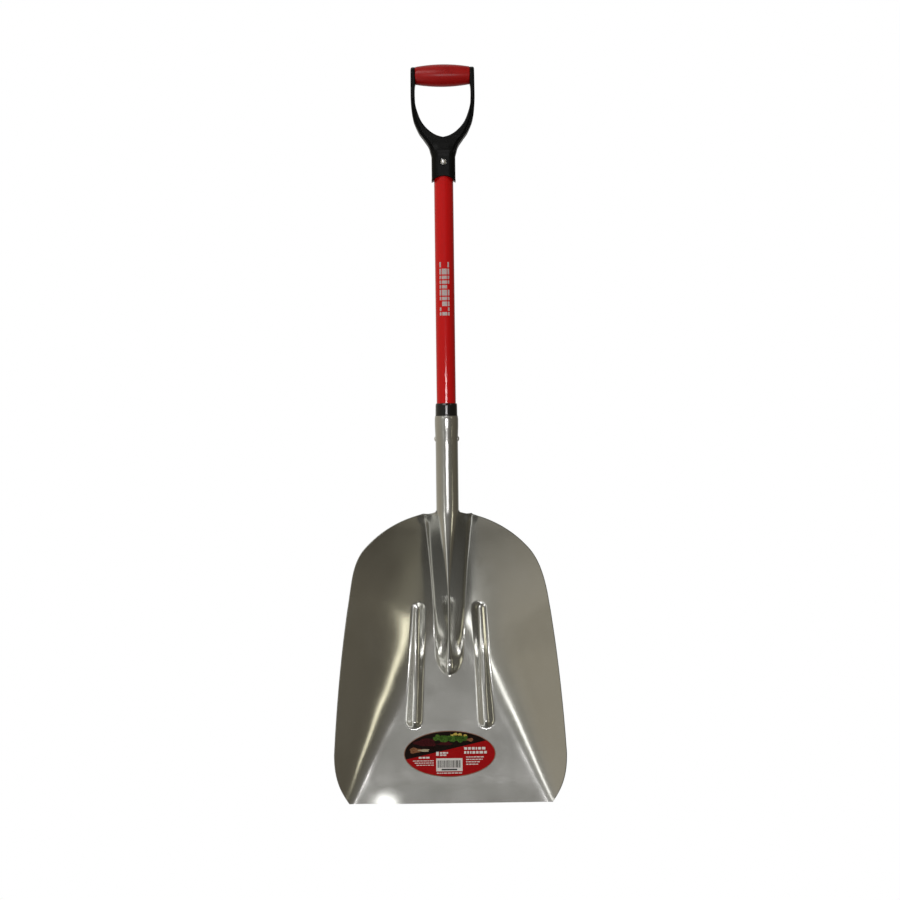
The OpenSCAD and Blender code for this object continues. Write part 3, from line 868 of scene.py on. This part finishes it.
def build_decal():
    """Three columns of bars with some left out, in the place of the lettering."""
    parts = []
    r = np.random.default_rng(11)
    z = 809.0
    while z < 896:
        h = min(r.choice([5.5, 7.5, 9.5]), 897 - z)
        for x0, x1 in ((-8.6, -6.2), (-4.8, 3.4), (4.6, 7.2)):
            if r.uniform() < 0.82:
                parts.append(curved_bar(x0, x1, z, z + h))
        z += h + 2.2
    return join(*parts)


v, f = build_decal()
piece("shaft_mark", v, f, M_DECAL, ("shaft_decal",), sharp=30)

for name in ("socket_plug", "grip_plug"):
    o = NODES[name]
    o.data.materials.clear()
    o.data.materials.append(M_WOOD)

# ---------------------------------------------------------------- stage, light, camera

scene = bpy.context.scene
scene.view_settings.view_transform = "Standard"


def softbox(name, azimuth, away, height, wide, tall, radiance, color):
    """A level lamp aimed at the shaft: azimuth 0 is in front, 90 to the right; lengths are in metres."""
    d = bpy.data.lights.new(name, "AREA")
    d.shape = "RECTANGLE"
    d.size, d.size_y = wide, tall
    d.energy = radiance * math.pi * wide * tall
    d.color = color
    o = bpy.data.objects.new(name, d)
    scene.collection.objects.link(o)
    a = math.radians(azimuth)
    way = Vector((math.sin(a), -math.cos(a), 0))
    o.location = way * away + Vector((0, 0, height))
    o.rotation_euler = (-way).to_track_quat("-Z", "Y").to_euler()
    o.visible_camera = False


# name, azimuth, how far off and how high it stands, its width and height, radiance, colour
softbox("front_strip", 1, 6.0, 0.37, 1.8, 0.7, 0.12, (1, 1, 1))
softbox("front_lamp", 1, 6.0, 0.80, 2.0, 0.30, 19, (1, 0.98, 1))
softbox("white_left", -33, 1.6, 0.12, 0.16, 0.6, 2.6, (1, 1, 0.98))
softbox("warm_right", 52, 1.6, 0.12, 0.17, 0.6, 2.2, (1, 0.95, 0.72))

world = bpy.data.worlds.new("studio")
scene.world = world
world.use_nodes = True
wt = world.node_tree
wt.nodes.clear()
out = wt.nodes.new("ShaderNodeOutputWorld")
path = wt.nodes.new("ShaderNodeLightPath")
tc = wt.nodes.new("ShaderNodeTexCoord")
sep = wt.nodes.new("ShaderNodeSeparateXYZ")
wt.links.new(tc.outputs["Generated"], sep.inputs[0])

# the studio's brightness by azimuth and by elevation, in degrees
AROUND = [(-180, (.6, .6, .58)), (-140, (.5, .48, .42)), (-110, (.40, .365, .3)), (-80, (.36, .33, .265)),
          (-50, (.34, .325, .285)), (-30, (.33, .32, .29)), (-14, (.26, .255, .24)), (0, (.25, .245, .235)),
          (15, (.2, .19, .17)), (30, (.17, .16, .14)), (45, (.14, .13, .105)), (60, (.14, .125, .098)),
          (90, (.135, .12, .09)), (115, (.1, .09, .07)), (140, (.2, .19, .17)), (180, (.6, .6, .58))]
UPWARD = [(-90, .35), (-50, .55), (-30, .85), (-10, .97), (0, 1.0), (20, 1.05), (90, 1.0)]


def studio_ramp(angle, span, stops):
    """Colours by an angle in radians that runs from -span to span; the stops are in degrees."""
    r = wt.nodes.new("ShaderNodeMapRange")
    r.inputs["From Min"].default_value = -span
    r.inputs["From Max"].default_value = span
    wt.links.new(angle, r.inputs["Value"])
    return ramp(wt, r.outputs["Result"], [((a / math.degrees(span) + 1) / 2, c) for a, c in stops])


back = math_node(wt, "MULTIPLY", sep.outputs["Y"], -1)
azimuth = math_node(wt, "ARCTAN2", sep.outputs["X"], back)
elevation = math_node(wt, "ARCSINE", sep.outputs["Z"], 0)
mul = wt.nodes.new("ShaderNodeMix")
mul.data_type = "RGBA"
mul.blend_type = "MULTIPLY"
mul.inputs["Factor"].default_value = 1.0
wt.links.new(studio_ramp(azimuth, math.pi, AROUND), mul.inputs["A"])
# halved to stay within a ramp's range; the background's strength of 2 makes up for it
wt.links.new(studio_ramp(elevation, math.pi / 2, [(a, (k / 2,) * 3) for a, k in UPWARD]), mul.inputs["B"])


def edge(value, a, b):
    """0 below a, 1 above b, given in degrees, smooth between them."""
    r = wt.nodes.new("ShaderNodeMapRange")
    r.interpolation_type = "SMOOTHSTEP"
    r.inputs["From Min"].default_value = math.radians(a)
    r.inputs["From Max"].default_value = math.radians(b)
    wt.links.new(value, r.inputs["Value"])
    return r.outputs["Result"]


def window(value, low, high, soft_by):
    """1 from low to high, with edges soft_by degrees wide, and 0 outside."""
    return math_node(wt, "SUBTRACT", edge(value, low, low + soft_by), edge(value, high - soft_by, high))


# soft panels: azimuths, elevations, brightness, colour
PANELS = [((-46, -28), (-62, -18), 0.9, (1, 1, .97)), ((42, 58), (-62, -18), 0.12, (1, .95, .72)),
          ((-44, -30), (13, 34), 1.8, (1, 1, 1)), ((44, 56), (13, 34), 1.4, (1, .96, .78)),
          ((-34, -8), (23, 48), 4.2, (1, 1, 1)), ((-32, 12), (12, 31), 0.05, (1, .99, .93)),
          ((-135, -55), (-45, -5), 0.06, (1, .91, .75))]
colour = mul.outputs["Result"]
for around, upward, bright, tint in PANELS:
    level = math_node(wt, "MULTIPLY", window(azimuth, *around, 3), window(elevation, *upward, 4))
    add = wt.nodes.new("ShaderNodeMix")
    add.data_type = "RGBA"
    add.blend_type = "ADD"
    wt.links.new(level, add.inputs["Factor"])
    wt.links.new(colour, add.inputs["A"])
    add.inputs["B"].default_value = (*[bright * c / 2 for c in tint], 1)
    colour = add.outputs["Result"]
soft = wt.nodes.new("ShaderNodeBackground")
soft.inputs["Strength"].default_value = 2.0
wt.links.new(colour, soft.inputs["Color"])
white = wt.nodes.new("ShaderNodeBackground")
white.inputs["Color"].default_value = (1, 1, 1, 1)
by_ray = wt.nodes.new("ShaderNodeMixShader")
wt.links.new(path.outputs["Is Camera Ray"], by_ray.inputs[0])
wt.links.new(soft.outputs[0], by_ray.inputs[1])
wt.links.new(white.outputs[0], by_ray.inputs[2])
wt.links.new(by_ray.outputs[0], out.inputs["Surface"])

# a plain white floor, which neither darkens the metal nor shows in it
FLOOR_HALF, FLOOR_Z = 9, -0.35
floor_mesh = bpy.data.meshes.new("floor")
corners = [(x * FLOOR_HALF, y * FLOOR_HALF, FLOOR_Z) for x, y in ((-1, -1), (1, -1), (1, 1), (-1, 1))]
floor_mesh.from_pydata(corners, [], [(0, 1, 2, 3)])
floor = bpy.data.objects.new("floor", floor_mesh)
scene.collection.objects.link(floor)
m, t, b = material("pale_floor", color=(0.0, 0.0, 0.0), roughness=1.0)
b.inputs["Specular IOR Level"].default_value = 0
b.inputs["Emission Color"].default_value = (1, 1, 1, 1)
b.inputs["Emission Strength"].default_value = 1.0
floor_mesh.materials.append(m)
floor.visible_glossy = False
floor.visible_diffuse = False
floor.visible_shadow = False

cam_data = bpy.data.cameras.new("camera")
camera = bpy.data.objects.new("camera", cam_data)
scene.collection.objects.link(camera)
DIST = 3.2  # from the camera to the shaft, in metres
VIEW = 0.9 * 1.655  # width of the view there, in metres
CAM_X, CAM_Z, CAM_ROLL = 0.0052, 0.5873, 0.69
cam_data.sensor_width = 36
cam_data.lens = 36 * DIST / VIEW
camera.location = (CAM_X, AXIS_Y * METRES - DIST, CAM_Z)
camera.rotation_euler = (math.radians(90), math.radians(CAM_ROLL), 0)
cam_data.clip_end = 100
scene.camera = camera

bpy.context.view_layer.update()
